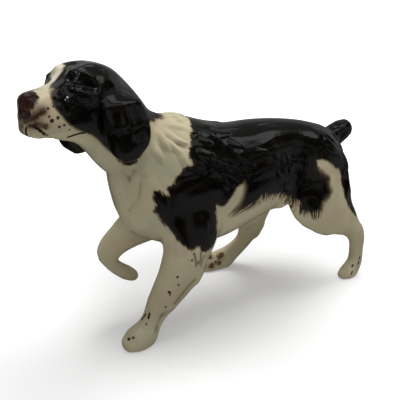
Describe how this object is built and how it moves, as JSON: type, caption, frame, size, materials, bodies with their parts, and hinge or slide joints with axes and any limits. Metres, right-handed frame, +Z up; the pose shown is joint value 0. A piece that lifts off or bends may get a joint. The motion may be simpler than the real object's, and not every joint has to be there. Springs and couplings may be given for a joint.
{
  "type": "dog figurine",
  "caption": "Glazed ceramic gundog ornament, walking with a foreleg raised, a long-eared head turned to the side and a docked tail; stands on its feet.",
  "frame": {"origin": "on the surface the figure stands on, under the middle of its bounding box", "axes": "the nose points to -X and the tail to +X, the dog's left side is on -Y and its right side, with the raised foreleg, on +Y, and +Z is up"},
  "size_m": [0.212, 0.0672, 0.1532],
  "materials": {
    "black_glaze": "gloss",
    "cream_glaze": "gloss"
  },
  "bodies": {
    "root": {"torso": "black_glaze", "head": "black_glaze", "left_ear": "black_glaze", "right_ear": "black_glaze", "tail": "black_glaze", "left_foreleg": "cream_glaze", "right_foreleg": "cream_glaze", "left_hindleg": "cream_glaze", "right_hindleg": "cream_glaze"}
  },
  "joints": []
}
